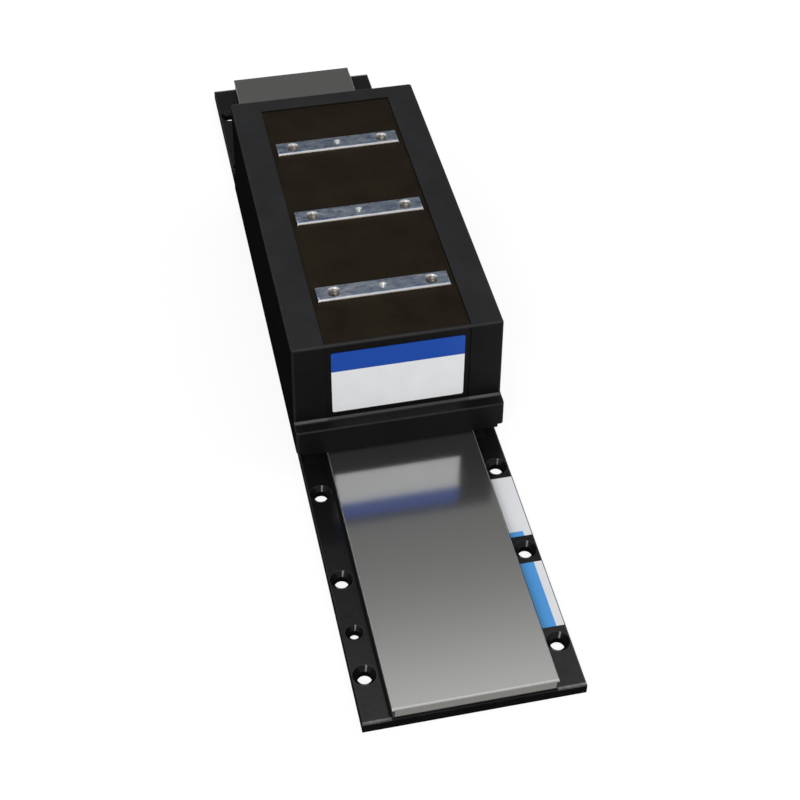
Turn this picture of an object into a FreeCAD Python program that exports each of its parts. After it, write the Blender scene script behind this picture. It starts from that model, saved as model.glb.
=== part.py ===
import FreeCAD, Part
import math
import os

# Flat linear motor: a rail of magnets, and the iron-core coil unit that runs along it over an air gap.
# Millimetres. The origin is the middle of the rail's underside.
# +X points across the rail, +Y along the travel and +Z up. The coil unit stands at its rest place.

# Rail plate
rail_length = 405.0
rail_width = 83.0
shoulder_width = 10.85
plate_thickness = 4.5
plate_edge_chamfer = 0.4
hole_pitch = 45.0
hole_edge_distance = 5.0
first_hole_offset = 21.0
last_hole_margin = 10.0
bolt_hole_diameter = 5.5
bolt_countersink_diameter = 9.0
locating_hole_diameter = 4.0
locating_countersink_diameter = 7.0
locating_hole_offset = 19.5

# Magnets, their bed and the cover sheet
pole_pitch = 22.5
magnet_gap = 4.5
magnet_thickness = 5.0
pocket_clearance = 0.1
bed_side_wall = 4.2
bed_headroom = 0.3
cover_overhang = 0.35
cover_sheet = 0.5
cover_end_gap = 0.1
cover_edge_radius = 0.2
lip_height = 4.2
lip_bend_radius = 0.2
lip_corner_relief = 1.0

# Stickers on the right shoulder of the rail
label_thickness = 0.15
label_hole_gap = 2.3
label_edge_gap = 0.1
label_cover_gap = 1.75

# Laminated core
rest_offset = 11.7
air_gap = 0.9
tooth_count = 6
poles_per_core = 7
tooth_width = 13.0
tooth_height = 36.0
yoke_height = 15.5
core_overhang = 3.3
core_end_margin = 1.25
window_clearance = 0.15

# Windings and insulation
fit_gap = 0.1
slot_liner = 0.5
coil_spacing = 0.65
coil_corner_radius = 5.0
coil_end_gap = 0.6
wedge_height = 1.5
wedge_gap = 0.5
base_sheet = 0.8

# Connections inside the moulding
link_thickness = 1.2
link_height = 4.0
link_spacing = 1.0
link_offset = 2.2
link_lift = 0.2
board_thickness = 1.6
board_side_gap = 2.8
board_height = 26.0
board_gap = 0.9
board_drop = 4.0
sensor_thickness = 2.5
sensor_length = 8.0
sensor_height = 10.0

# Moulded case
resin_side = 2.9
case_side_wall = 4.0
case_front_wall = 1.5
case_rear_wall = 5.4
case_roof = 4.0
case_corner_radius = 1.2
case_edge_radius = 0.8
edge_facets = 2
case_draft = 0.65
rear_wire_space = 3.5
window_recess = 0.5
flange_height = 13.0
flange_slope = 0.4
flange_end_step = 5.9
flange_side_step = 0.15
side_bevel = 0.05
flange_bevel = 0.4
foot_bevel = 0.6
undercut_height = 1.6
undercut_width = 2.5
panel_depth = 0.6
panel_side_margin = 2.3
panel_top_margin = 1.0

# Nameplate
nameplate_height = 32.0
nameplate_thickness = 0.3
nameplate_drop = 0.3
nameplate_corner_radius = 0.8

# Mounting bars
bar_pitch = 50.0
bar_offset = -1.4
bar_end_gap = 2.05
bar_width = 8.6
bar_proud = 1.0
bar_foot_width = 12.6
bar_foot_height = 4.8
bar_neck_depth = 3.0
bar_edge_chamfer = 0.6
bar_hole_inset = 7.25
bar_tap_diameter = 4.2
bar_tap_mouth = 5.8
bar_centre_mark = 3.4

# Lead glands in the rear wall
gland_spacing = 32.0
gland_height = 34.0
gland_length = 11.0
gland_wall = 2.6
power_lead_diameter = 6.6
sensor_lead_diameter = 4.6

# Heights, from the table up
plate_top = plate_thickness
bed_top = plate_top + magnet_thickness + bed_headroom
cover_top = bed_top + cover_sheet
coil_bottom = cover_top + air_gap
core_bottom = coil_bottom + base_sheet
yoke_bottom = core_bottom + tooth_height
core_top = yoke_bottom + yoke_height
case_top = core_top + window_recess
bar_top = case_top + bar_proud
flange_edge = coil_bottom + flange_height
flange_crease = flange_edge + flange_slope
panel_top = case_top - panel_top_margin
roof_bottom = case_top - case_roof
winding_low = core_bottom + wedge_height + wedge_gap
winding_high = yoke_bottom - coil_end_gap
link_low = winding_high + link_lift

# Places along the rail
rail_front = -rail_length / 2
rail_rear = rail_length / 2
hole_count = int((rail_length - first_hole_offset - last_hole_margin) // hole_pitch) + 1
hole_ys = [rail_front + first_hole_offset + i * hole_pitch for i in range(hole_count)]
magnet_length = pole_pitch - magnet_gap
magnet_count = int(rail_length // pole_pitch)
magnet_ys = [(i - (magnet_count - 1) / 2) * pole_pitch for i in range(magnet_count)]
cover_front = rail_front + cover_end_gap
cover_rear = rail_rear - cover_end_gap
bed_inset = cover_end_gap + cover_sheet + lip_bend_radius

# Widths across the rail
hole_row = rail_width / 2 - hole_edge_distance
cover_width = rail_width - 2 * shoulder_width
bed_width = cover_width - 2 * cover_overhang
magnet_width = bed_width - 2 * (bed_side_wall + pocket_clearance)

# Places along the coil unit
tooth_pitch = poles_per_core * pole_pitch / tooth_count
core_length = tooth_count * tooth_pitch + 2 * core_end_margin
core_front = rest_offset - core_length / 2
core_rear = rest_offset + core_length / 2
tooth_ys = [rest_offset + (i - (tooth_count - 1) / 2) * tooth_pitch for i in range(tooth_count)]
bar_middle = rest_offset + bar_offset
bar_ys = [bar_middle - bar_pitch, bar_middle, bar_middle + bar_pitch]
window_front = core_front - window_clearance
window_rear = core_rear + window_clearance
cavity_front = window_front
cavity_rear = window_rear + rear_wire_space
case_front = cavity_front - case_front_wall
case_rear = cavity_rear + case_rear_wall
flange_front = case_front - flange_end_step
flange_rear = case_rear + flange_end_step

# Widths across the coil unit
core_width = magnet_width + 2 * core_overhang
bar_length = core_width - 2 * bar_end_gap
nameplate_width = core_width - 2 * panel_side_margin
slot_width = tooth_pitch - tooth_width
liner_inside = fit_gap / 2
coil_inside = liner_inside + slot_liner + fit_gap / 2
coil_build = (slot_width - coil_spacing) / 2 - coil_inside
core_side = core_width / 2
winding_side = core_side + coil_inside + coil_build
cavity_side = winding_side + resin_side
case_width = 2 * (cavity_side + case_side_wall)
link_inside = core_side + link_offset
leads = [(-gland_spacing / 2, power_lead_diameter), (gland_spacing / 2, sensor_lead_diameter)]


def block(x_low, x_high, y_low, y_high, z_low, z_high):
    """A box between two corners."""
    corner = FreeCAD.Vector(x_low, y_low, z_low)
    return Part.makeBox(x_high - x_low, y_high - y_low, z_high - z_low, corner)


def middle_block(width, y_low, y_high, z_low, z_high):
    """A box that is centred on the middle plane of the motor."""
    return block(-width / 2, width / 2, y_low, y_high, z_low, z_high)


def upright_cylinder(diameter, x, y, z_low, z_high):
    """A cylinder along Z."""
    return Part.makeCylinder(diameter / 2, z_high - z_low, FreeCAD.Vector(x, y, z_low))


def lead_cylinder(x, diameter, y_low, y_high):
    """A cylinder along Y, at the height of the leads."""
    base = FreeCAD.Vector(x, y_low, coil_bottom + gland_height)
    return Part.makeCylinder(diameter / 2, y_high - y_low, base, FreeCAD.Vector(0, 1, 0))


def rounded_outline(x_low, x_high, y_low, y_high, radius, z):
    """A closed wire: a rectangle with round corners, level at height z."""
    corners = [(x_high, y_high, 0), (x_low, y_high, 90), (x_low, y_low, 180), (x_high, y_low, 270)]
    up = FreeCAD.Vector(0, 0, 1)
    arcs = []
    for x, y, start in corners:
        centre = FreeCAD.Vector(x - radius if x == x_high else x + radius,
                                y - radius if y == y_high else y + radius, z)
        arcs.append(Part.makeCircle(radius, centre, up, start, start + 90))
    edges = []
    for arc, following in zip(arcs, arcs[1:] + arcs[:1]):
        edges.append(arc)
        edges.append(Part.makeLine(arc.Vertexes[-1].Point, following.Vertexes[0].Point))
    return Part.Wire(edges)


def rounded_block(x_low, x_high, y_low, y_high, z_low, z_high, radius):
    """A block with round upright edges."""
    face = Part.Face(rounded_outline(x_low, x_high, y_low, y_high, radius, z_low))
    return face.extrude(FreeCAD.Vector(0, 0, z_high - z_low))


def side_profile(points, x_low, x_high):
    """A prism across the motor, from (y, z) points."""
    corners = [FreeCAD.Vector(x_low, y, z) for y, z in points]
    face = Part.Face(Part.makePolygon(corners + corners[:1]))
    return face.extrude(FreeCAD.Vector(x_high - x_low, 0, 0))


def countersunk_cutter(diameter, mouth, x, y, z_low, z_high):
    """What a drill and a right-angled countersink remove from z_low up to z_high."""
    depth = (mouth - diameter) / 2
    drill = upright_cylinder(diameter, x, y, z_low, z_high)
    tip = FreeCAD.Vector(x, y, z_high - depth)
    return drill.fuse(Part.makeCone(diameter / 2, mouth / 2, depth, tip))


def edges_at_height(shape, z):
    """Edges that lie level at height z."""
    return [e for e in shape.Edges if abs(e.BoundBox.ZMin - z) < 1e-6 and abs(e.BoundBox.ZMax - z) < 1e-6]


def make_rail_base_plate():
    """Flat steel bar with two rows of countersunk bolt holes and one locating hole."""
    plate = middle_block(rail_width, rail_front, rail_rear, 0, plate_top)
    plate = plate.makeChamfer(plate_edge_chamfer, edges_at_height(plate, plate_top))
    sizes = (bolt_hole_diameter, bolt_countersink_diameter)
    cutters = []
    for y in hole_ys:
        for x in (-hole_row, hole_row):
            cutters.append(countersunk_cutter(*sizes, x, y, 0, plate_top))
    locating_y = hole_ys[0] + locating_hole_offset
    cutters.append(countersunk_cutter(locating_hole_diameter, locating_countersink_diameter,
                                      -hole_row, locating_y, 0, plate_top))
    return plate.cut(cutters)


def magnet_group(first):
    """Every second magnet of the row, counted from first: the magnets of one polarity."""
    top = plate_top + magnet_thickness
    half = magnet_length / 2
    magnets = [middle_block(magnet_width, y - half, y + half, plate_top, top) for y in magnet_ys[first::2]]
    return Part.makeCompound(magnets)


def make_magnet_bed():
    """Ladder of black resin with a pocket for each magnet."""
    bed = middle_block(bed_width, rail_front + bed_inset, rail_rear - bed_inset, plate_top, bed_top)
    half = magnet_length / 2 + pocket_clearance
    width = magnet_width + 2 * pocket_clearance
    return bed.cut([middle_block(width, y - half, y + half, plate_top, bed_top) for y in magnet_ys])


def lip_profile(end, inward):
    """Section of a cover lip: bend and turned-down edge. inward is +1 at the front and -1 at the rear."""
    outer = lip_bend_radius + cover_sheet
    hinge_y = end + inward * outer
    hinge_z = cover_top - outer
    slant = 0.5 ** 0.5

    def point(y, z):
        return FreeCAD.Vector(0, y, z)

    def bend(radius):
        return Part.Arc(point(hinge_y, hinge_z + radius),
                        point(hinge_y - inward * radius * slant, hinge_z + radius * slant),
                        point(hinge_y - inward * radius, hinge_z)).toShape()

    foot = cover_top - lip_height
    inner = end + inward * cover_sheet
    edges = [
        bend(outer),
        Part.makeLine(point(end, hinge_z), point(end, foot)),
        Part.makeLine(point(end, foot), point(inner, foot)),
        Part.makeLine(point(inner, foot), point(inner, hinge_z)),
        bend(lip_bend_radius),
        Part.makeLine(point(hinge_y, bed_top), point(hinge_y, cover_top)),
    ]
    return Part.Face(Part.Wire(Part.__sortEdges__(edges)))


def make_magnet_cover():
    """Thin stainless sheet over the magnets. At each end a lip with cut-away corners is bent down."""
    outer = lip_bend_radius + cover_sheet
    sheet = middle_block(cover_width, cover_front + outer, cover_rear - outer, bed_top, cover_top)
    long_edges = [e for e in edges_at_height(sheet, cover_top) if e.Length > cover_width]
    sheet = sheet.makeFillet(cover_edge_radius, long_edges)
    side = cover_width / 2
    corner = side - lip_corner_relief
    foot = cover_top - lip_height
    lips = []
    for end, inward in ((cover_front, 1), (cover_rear, -1)):
        lip = lip_profile(end, inward).extrude(FreeCAD.Vector(cover_width, 0, 0))
        lip.translate(FreeCAD.Vector(-side, 0, 0))
        y_low, y_high = sorted((end, end + inward * outer))
        lips.append(lip.cut([block(x_low, x_high, y_low, y_high, foot, cover_top - outer)
                             for x_low, x_high in ((-side, -corner), (corner, side))]))
    return sheet.fuse(lips).removeSplitter()


def make_rail_label(gap_index):
    """Sticker on the right shoulder, between bolt holes gap_index and gap_index + 1."""
    x_low = cover_width / 2 + label_cover_gap
    x_high = rail_width / 2 - plate_edge_chamfer - label_edge_gap
    length = hole_pitch - bolt_countersink_diameter - 2 * label_hole_gap
    middle = hole_ys[gap_index] + hole_pitch / 2
    return block(x_low, x_high, middle - length / 2, middle + length / 2,
                 plate_top, plate_top + label_thickness)


def lamination_points():
    """(y, z) outline of one lamination: the yoke on top, teeth along the bottom."""
    points = [(core_front, core_top), (core_rear, core_top), (core_rear, yoke_bottom)]
    half = tooth_width / 2
    for y in reversed(tooth_ys):
        points += [(y + half, yoke_bottom), (y + half, core_bottom)]
        points += [(y - half, core_bottom), (y - half, yoke_bottom)]
    points.append((core_front, yoke_bottom))
    return points


def tee_points(y, gap, top):
    """(y, z) outline of a mounting bar, or of its T-slot where gap is the clearance round the bar."""
    neck = bar_width / 2 + gap
    foot = bar_foot_width / 2 + gap
    floor = core_top - bar_neck_depth - fit_gap - bar_foot_height
    shoulder = floor + bar_foot_height + gap
    return [
        (y - foot, floor), (y + foot, floor), (y + foot, shoulder), (y + neck, shoulder),
        (y + neck, top), (y - neck, top), (y - neck, shoulder), (y - foot, shoulder),
    ]


def make_laminated_core():
    """Bonded stack of electrical steel sheets. The outer sheets close the ends of the bars' T-slots."""
    stack = side_profile(lamination_points(), -core_side, core_side)
    reach = bar_length / 2 + fit_gap
    return stack.cut([side_profile(tee_points(y, fit_gap, core_top), -reach, reach) for y in bar_ys])


def round_tooth(y, grow):
    """x and y reach of a frame that stands off from one tooth on all sides by grow."""
    reach = tooth_width / 2 + grow
    side = core_side + grow
    return -side, side, y - reach, y + reach


def make_slot_liners():
    """Insulating sleeve round each tooth."""
    liners = []
    for y in tooth_ys:
        sleeve = block(*round_tooth(y, liner_inside + slot_liner), winding_low, winding_high)
        liners.append(sleeve.cut(block(*round_tooth(y, liner_inside), winding_low, winding_high)))
    return Part.makeCompound(liners)


def make_winding(phase):
    """The coils of one phase: every third tooth, counted from phase."""
    coils = []
    for y in tooth_ys[phase::3]:
        outside = round_tooth(y, coil_inside + coil_build)
        coil = rounded_block(*outside, winding_low, winding_high, coil_corner_radius)
        coils.append(coil.cut(block(*round_tooth(y, coil_inside), winding_low, winding_high)))
    return Part.makeCompound(coils)


def make_slot_wedges():
    """Strips that close the mouth of the slot between two teeth."""
    half = slot_width / 2 - fit_gap
    top = core_bottom + wedge_height
    middles = [(a + b) / 2 for a, b in zip(tooth_ys, tooth_ys[1:])]
    wedges = [middle_block(core_width, y - half, y + half, core_bottom, top) for y in middles]
    return Part.makeCompound(wedges)


def make_base_sheet():
    """Thin insulating sheet under the teeth, facing the magnets."""
    width = 2 * (cavity_side - fit_gap)
    return middle_block(width, cavity_front + fit_gap, cavity_rear - fit_gap, coil_bottom, core_bottom)


def make_phase_links():
    """Copper strips along the right side that join the coils of each phase."""
    links = []
    span = tooth_count // 2
    for phase in range(3):
        x_low = link_inside + phase * (link_thickness + link_spacing)
        links.append(block(x_low, x_low + link_thickness, tooth_ys[phase], tooth_ys[phase + span],
                           link_low, link_low + link_height))
    return Part.makeCompound(links)


def make_star_link():
    """Copper strip along the left side that joins the ends of the three phases."""
    return block(-link_inside - link_thickness, -link_inside, tooth_ys[-3], tooth_ys[-1],
                 link_low, link_low + link_height)


def make_terminal_board():
    """Upright board behind the core, where the leads are joined to the coils."""
    front = core_rear + board_gap
    top = roof_bottom - board_drop
    width = core_width - 2 * board_side_gap
    return middle_block(width, front, front + board_thickness, top - board_height, top)


def make_thermal_sensor():
    """Flat temperature sensor against the end turn of an inner coil."""
    x_high = -winding_side - fit_gap
    y = tooth_ys[tooth_count // 2 - 1]
    middle = (winding_low + winding_high) / 2
    return block(x_high - sensor_thickness, x_high, y - sensor_length / 2, y + sensor_length / 2,
                 middle - sensor_height / 2, middle + sensor_height / 2)


def make_potting_resin():
    """Resin cast round the core, the coils and the connections, up to the roof of the case."""
    resin = middle_block(2 * cavity_side, cavity_front, cavity_rear, core_bottom, roof_bottom)
    cutters = [middle_block(core_width, core_front, core_rear, yoke_bottom, roof_bottom)]
    for y in tooth_ys:
        cutters.append(block(*round_tooth(y, 0), core_bottom, yoke_bottom))
        around = round_tooth(y, coil_inside + coil_build + fit_gap)
        cutters.append(block(*around, winding_low - fit_gap, winding_high + fit_gap))
    cast_in = [make_slot_wedges(), make_phase_links(), make_star_link()]
    cast_in += [make_terminal_board(), make_thermal_sensor()]
    for part in cast_in:
        cutters += part.Solids
    return resin.cut(cutters)


def case_sections():
    """Outlines of the case from the bottom up: flange, ledge, drafted block and rounded upper edge."""
    end_step, side_step = flange_end_step, flange_side_step
    steps = [
        (end_step, side_step, coil_bottom),
        (end_step, side_step, flange_edge - flange_bevel),
        (end_step - flange_bevel, side_step - side_bevel, flange_edge),
        (foot_bevel, side_bevel, flange_crease),
        (0, 0, flange_crease + foot_bevel),
    ]
    for turn in range(edge_facets + 1):
        angle = math.pi / 2 * turn / edge_facets
        inset = case_edge_radius * (1 - math.cos(angle))
        steps.append((-inset, -inset, case_top - case_edge_radius * (1 - math.sin(angle))))
    outlines = []
    for reach, spread, z in steps:
        side = case_width / 2 + case_draft * (case_top - z) / (case_top - coil_bottom) + spread
        radius = case_corner_radius + spread
        outlines.append(rounded_outline(-side, side, case_front - reach, case_rear + reach, radius, z))
    return outlines


def make_moulded_case():
    """Black moulding: flange with a ledge, block with a window on top, and a shallow panel in front."""
    case = Part.makeLoft(case_sections(), True, True)
    window_width = core_width + 2 * window_clearance
    panel_back = case_front + panel_depth
    cutters = [
        middle_block(2 * cavity_side, cavity_front, cavity_rear, coil_bottom, roof_bottom),
        middle_block(window_width, window_front, window_rear, roof_bottom, case_top),
        middle_block(core_width, case_front, panel_back, flange_crease, panel_top),
    ]
    cutters += [lead_cylinder(x, lead, cavity_rear, case_rear) for x, lead in leads]
    outside = case.BoundBox.XMax
    inside = outside - undercut_width
    undercut_top = coil_bottom + undercut_height
    for x_low, x_high in ((-outside, -inside), (inside, outside)):
        cutters.append(block(x_low, x_high, flange_front, flange_rear, coil_bottom, undercut_top))
    return case.cut(cutters)


def make_lead_glands():
    """Rubber bushes on the rear wall, bored for the leads."""
    tip = case_rear + gland_length
    glands = []
    for x, lead in leads:
        bush = lead_cylinder(x, lead + 2 * gland_wall, case_rear, tip)
        glands.append(bush.cut(lead_cylinder(x, lead, case_rear, tip)))
    return Part.makeCompound(glands)


def make_nameplate():
    """Thin metal plate in the front panel, with its middle a little below the panel's."""
    middle = (flange_crease + panel_top) / 2 - nameplate_drop
    half = nameplate_width / 2
    plate = rounded_block(-half, half, 0, nameplate_height, 0, nameplate_thickness, nameplate_corner_radius)
    plate.rotate(FreeCAD.Vector(0, 0, 0), FreeCAD.Vector(1, 0, 0), 90)
    plate.translate(FreeCAD.Vector(0, case_front + panel_depth, middle - nameplate_height / 2))
    return plate


def make_mounting_bar(y):
    """Plated steel bar of T section, with two tapped holes and a centre mark in its upper face."""
    bar = side_profile(tee_points(y, 0, bar_top), -bar_length / 2, bar_length / 2)
    bar = bar.makeChamfer(bar_edge_chamfer, edges_at_height(bar, bar_top))
    bottom = bar.BoundBox.ZMin
    mark = bar_centre_mark / 2
    cutters = [Part.makeCone(0, mark, mark, FreeCAD.Vector(0, y, bar_top - mark))]
    hole = bar_length / 2 - bar_hole_inset
    for x in (-hole, hole):
        cutters.append(countersunk_cutter(bar_tap_diameter, bar_tap_mouth, x, y, bottom, bar_top))
    return bar.cut(cutters)


nodes = {
    "rail_base_plate": make_rail_base_plate(),
    "magnets_north": magnet_group(0),
    "magnets_south": magnet_group(1),
    "magnet_bed": make_magnet_bed(),
    "magnet_cover": make_magnet_cover(),
    "rail_label_front": make_rail_label(0),
    "rail_label_rear": make_rail_label(1),
    "moulded_case": make_moulded_case(),
    "base_sheet": make_base_sheet(),
    "laminated_core": make_laminated_core(),
    "slot_liners": make_slot_liners(),
    "slot_wedges": make_slot_wedges(),
    "winding_phase_u": make_winding(0),
    "winding_phase_v": make_winding(1),
    "winding_phase_w": make_winding(2),
    "phase_links": make_phase_links(),
    "star_link": make_star_link(),
    "terminal_board": make_terminal_board(),
    "thermal_sensor": make_thermal_sensor(),
    "potting_resin": make_potting_resin(),
    "lead_glands": make_lead_glands(),
    "nameplate": make_nameplate(),
    "mounting_bar_front": make_mounting_bar(bar_ys[0]),
    "mounting_bar_middle": make_mounting_bar(bar_ys[1]),
    "mounting_bar_rear": make_mounting_bar(bar_ys[2]),
}

os.makedirs("parts", exist_ok=True)
for name, shape in nodes.items():
    shape.exportStep("parts/" + name + ".step")
    box = shape.BoundBox
    reach = [round(v, 2) for v in (box.XMin, box.XMax, box.YMin, box.YMax, box.ZMin, box.ZMax)]
    print(name, len(shape.Solids), "solids, volume", round(shape.Volume), "box", reach, shape.isValid())
print("travel", round(rail_front - flange_front, 2), round(rail_rear - flange_rear, 2))
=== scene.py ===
# %% [markdown]
# # A flat linear motor
# A flat linear motor is a rotary motor that has been cut open and rolled out. The lower half is a
# rail of magnets under a thin steel cover. The upper half is a coil unit: a laminated iron core
# with copper coils, cast into a black moulding. Plated bars on top carry the machine's slide.
#
# The exact solids come from the imported model, so this lesson only dresses them. We load them first,
# and read the box that each one fills where it is needed. The dressed part has to stay inside it.

# %% Load the imported model
import math

import bmesh
import bpy
from mathutils import Matrix, Vector


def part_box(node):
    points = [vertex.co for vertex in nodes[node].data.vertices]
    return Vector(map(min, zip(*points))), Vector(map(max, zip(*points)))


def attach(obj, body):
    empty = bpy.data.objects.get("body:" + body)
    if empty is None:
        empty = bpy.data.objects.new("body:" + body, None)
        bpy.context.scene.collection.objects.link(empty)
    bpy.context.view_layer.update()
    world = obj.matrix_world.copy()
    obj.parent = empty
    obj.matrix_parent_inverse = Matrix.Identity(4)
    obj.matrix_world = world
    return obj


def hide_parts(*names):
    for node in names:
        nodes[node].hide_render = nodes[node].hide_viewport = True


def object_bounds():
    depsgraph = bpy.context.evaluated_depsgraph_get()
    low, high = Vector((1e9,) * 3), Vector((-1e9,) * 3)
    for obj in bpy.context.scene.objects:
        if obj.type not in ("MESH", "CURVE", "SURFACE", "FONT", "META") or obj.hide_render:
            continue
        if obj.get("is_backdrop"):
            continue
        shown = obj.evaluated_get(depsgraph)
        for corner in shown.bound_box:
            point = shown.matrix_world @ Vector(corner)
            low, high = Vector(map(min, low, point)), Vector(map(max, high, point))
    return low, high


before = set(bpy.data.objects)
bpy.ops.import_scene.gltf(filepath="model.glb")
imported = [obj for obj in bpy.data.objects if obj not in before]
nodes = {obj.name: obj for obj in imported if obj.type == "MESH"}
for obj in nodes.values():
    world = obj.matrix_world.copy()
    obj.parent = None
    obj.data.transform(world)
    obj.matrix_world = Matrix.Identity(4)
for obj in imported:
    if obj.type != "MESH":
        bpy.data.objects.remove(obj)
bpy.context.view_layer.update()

MM = 0.001

# %% [markdown]
# ## Camera
# The picture was taken from the front left, looking down at about 45 degrees, with a longish lens.
# The pose below comes from lining up the rail, the bars and the case with the picture. A camera
# looks along its own -Z, so we build its axes from the direction of view, a level right-hand axis
# and a small roll.

# %% Camera
CAMERA_PLACE = Vector((-97.10, -510.06, 476.31)) * MM
CAMERA_YAW = math.radians(12.5238)
CAMERA_PITCH = math.radians(44.7639)
CAMERA_ROLL = math.radians(0.4700)
FOCAL_SHARE = 1569.04 / 800

forward = Vector((math.sin(CAMERA_YAW) * math.cos(CAMERA_PITCH),
                  math.cos(CAMERA_YAW) * math.cos(CAMERA_PITCH), -math.sin(CAMERA_PITCH)))
level = Vector((math.cos(CAMERA_YAW), -math.sin(CAMERA_YAW), 0))
upright = level.cross(forward)
camera_right = math.cos(CAMERA_ROLL) * level + math.sin(CAMERA_ROLL) * upright
camera_up = math.cos(CAMERA_ROLL) * upright - math.sin(CAMERA_ROLL) * level

camera_data = bpy.data.cameras.new("studio_camera")
camera_data.sensor_width = 36
camera_data.lens = camera_data.sensor_width * FOCAL_SHARE
camera_data.clip_start = 0.01
camera = bpy.data.objects.new("studio_camera", camera_data)
bpy.context.scene.collection.objects.link(camera)
turn = Matrix((camera_right, camera_up, -forward)).transposed().to_4x4()
camera.matrix_world = Matrix.Translation(CAMERA_PLACE) @ turn
bpy.context.scene.camera = camera
print("camera lens in mm:", round(camera_data.lens, 2))

# %% [markdown]
# ## Node helpers
# The room, the floor and every finish are small graphs of shader nodes. In the editor one drags and
# links them by hand. A script has to name each node and each link, so four helpers keep that short:
# add a node, join two sockets, spread values along a ramp, and calculate.

# %% Node helpers
def add_node(tree, kind, **settings):
    """Add a shader node, and set its properties and inputs by name."""
    node = tree.nodes.new("ShaderNode" + kind)
    for name, value in settings.items():
        if hasattr(node, name):
            setattr(node, name, value)
        else:
            node.inputs[name.replace("_", " ")].default_value = value
    return node


def join(tree, source, target):
    """Link one socket to another."""
    tree.links.new(source, target)


def ramp(tree, factor, stops):
    """A ramp of greys over factor. Each stop is a place and a value."""
    node = tree.nodes.new("ShaderNodeValToRGB")
    elements = node.color_ramp.elements
    while len(elements) < len(stops):
        elements.new(1.0)
    for element, (place, value) in zip(elements, stops):
        element.position = place
        element.color = (value, value, value, 1)
    join(tree, factor, node.inputs["Fac"])
    return node.outputs["Color"]


def math_node(tree, operation, first, second=None):
    """A maths node. Inputs are sockets or plain numbers."""
    node = tree.nodes.new("ShaderNodeMath")
    node.operation = operation
    for socket, value in zip(node.inputs, (first, second)):
        if value is None:
            continue
        if isinstance(value, (int, float)):
            socket.default_value = value
        else:
            join(tree, value, socket)
    return node.outputs["Value"]


print("node helpers ready")

# %% [markdown]
# ## Studio
# Black parts and bright metal show little of their own colour: they show the room. A white sweep
# stands round the object, the wall behind it is dim, and the room brightens towards a large soft
# light overhead and towards the front. One could build that room from cards and lamps, but their
# edges would show in the cover. Painting it as a gradient on the world gives smooth reflections.
# The gradient runs round the X axis, as under a long light that hangs across the rail.

# %% World
LEAST_UPRIGHT = 0.5
FRONT_BEGINS, FRONT_FULL = 0.15, -0.45
REAR_ROOM = [(0.0, 0.55), (0.10, 0.45), (0.24, 0.18), (0.42, 0.12), (0.55, 0.16), (0.70, 0.16),
             (0.765, 0.20), (0.785, 0.255), (0.80, 0.36), (0.815, 0.54), (0.83, 0.86), (0.85, 1.10),
             (0.90, 1.20), (1.0, 1.25)]
FRONT_ROOM = [(0.0, 1.0), (0.16, 1.0), (0.35, 0.85), (0.50, 0.65), (0.85, 0.80), (0.92, 1.20),
              (1.0, 1.25)]

world = bpy.data.worlds.new("studio_room")
bpy.context.scene.world = world
world.use_nodes = True
room = world.node_tree
room.nodes.clear()
direction = add_node(room, "TexCoord")
parts = add_node(room, "SeparateXYZ")
join(room, direction.outputs["Generated"], parts.inputs["Vector"])
sideways = math_node(room, "MULTIPLY", parts.outputs["X"], parts.outputs["X"])
upright_part = math_node(room, "SUBTRACT", 1.0, sideways)
upright_part = math_node(room, "MAXIMUM", upright_part, LEAST_UPRIGHT)
height = math_node(room, "DIVIDE", parts.outputs["Z"], math_node(room, "SQRT", upright_part))
rear_room = ramp(room, height, REAR_ROOM)
front_room = ramp(room, height, FRONT_ROOM)
facing_front = add_node(room, "MapRange", interpolation_type="SMOOTHSTEP")
join(room, parts.outputs["Y"], facing_front.inputs["Value"])
facing_front.inputs["From Min"].default_value = FRONT_BEGINS
facing_front.inputs["From Max"].default_value = FRONT_FULL
blend_room = add_node(room, "Mix", data_type="RGBA")
join(room, facing_front.outputs["Result"], blend_room.inputs["Factor"])
join(room, rear_room, blend_room.inputs["A"])
join(room, front_room, blend_room.inputs["B"])
room_light = add_node(room, "Background")
join(room, blend_room.outputs["Result"], room_light.inputs["Color"])
room_out = add_node(room, "OutputWorld")
join(room, room_light.outputs["Background"], room_out.inputs["Surface"])
print("world nodes:", len(room.nodes))

# %% [markdown]
# Three soft lamps add light that has a direction. The one at the front left also draws the small
# glints in the countersinks of the rail. The other two only fill in the sides and the back, so
# shiny surfaces don't show them: a lamp's own white rectangle in the cover would hide the metal.

# %% Lamps
LAMP_AIM = Vector((0, 0, 0.03))


def softbox(name, place, width, height, power, in_mirrors=True):
    """An upright area lamp that points at the object. Shiny surfaces show it if in_mirrors is set."""
    lamp = bpy.data.lights.new(name, "AREA")
    lamp.shape = "RECTANGLE"
    lamp.size = width
    lamp.size_y = height
    lamp.energy = power
    obj = bpy.data.objects.new(name, lamp)
    obj.location = place
    obj.rotation_euler = (LAMP_AIM - Vector(place)).to_track_quat("-Z", "Y").to_euler()
    obj.visible_glossy = in_mirrors
    bpy.context.scene.collection.objects.link(obj)
    return obj


lamps = [softbox("front_softbox", (-0.47, -1.03, 0.82), 0.26, 0.34, 5.0),
         softbox("right_softbox", (1.10, -0.46, 0.48), 0.30, 0.30, 3.2, in_mirrors=False),
         softbox("rear_softbox", (0.30, 1.25, 0.35), 0.50, 0.30, 2.5, in_mirrors=False)]
print("lamps:", [lamp.name for lamp in lamps])

# %% [markdown]
# The floor is plain and white. For the camera and for mirrors it mostly glows at a strength just
# under 1, so that it reads as clean paper, and the rest of it is ordinary white paint, which takes
# the object's shadow.

# %% Floor
FLOOR_SIZE = 8.0
FLOOR_DROP = 0.1 * MM
PAPER_TONE = (0.45, 0.45, 0.45, 1)
SHADOW_TONE = (0.16, 0.16, 0.16, 1)
PAPER_GLOW = 0.86

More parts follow.
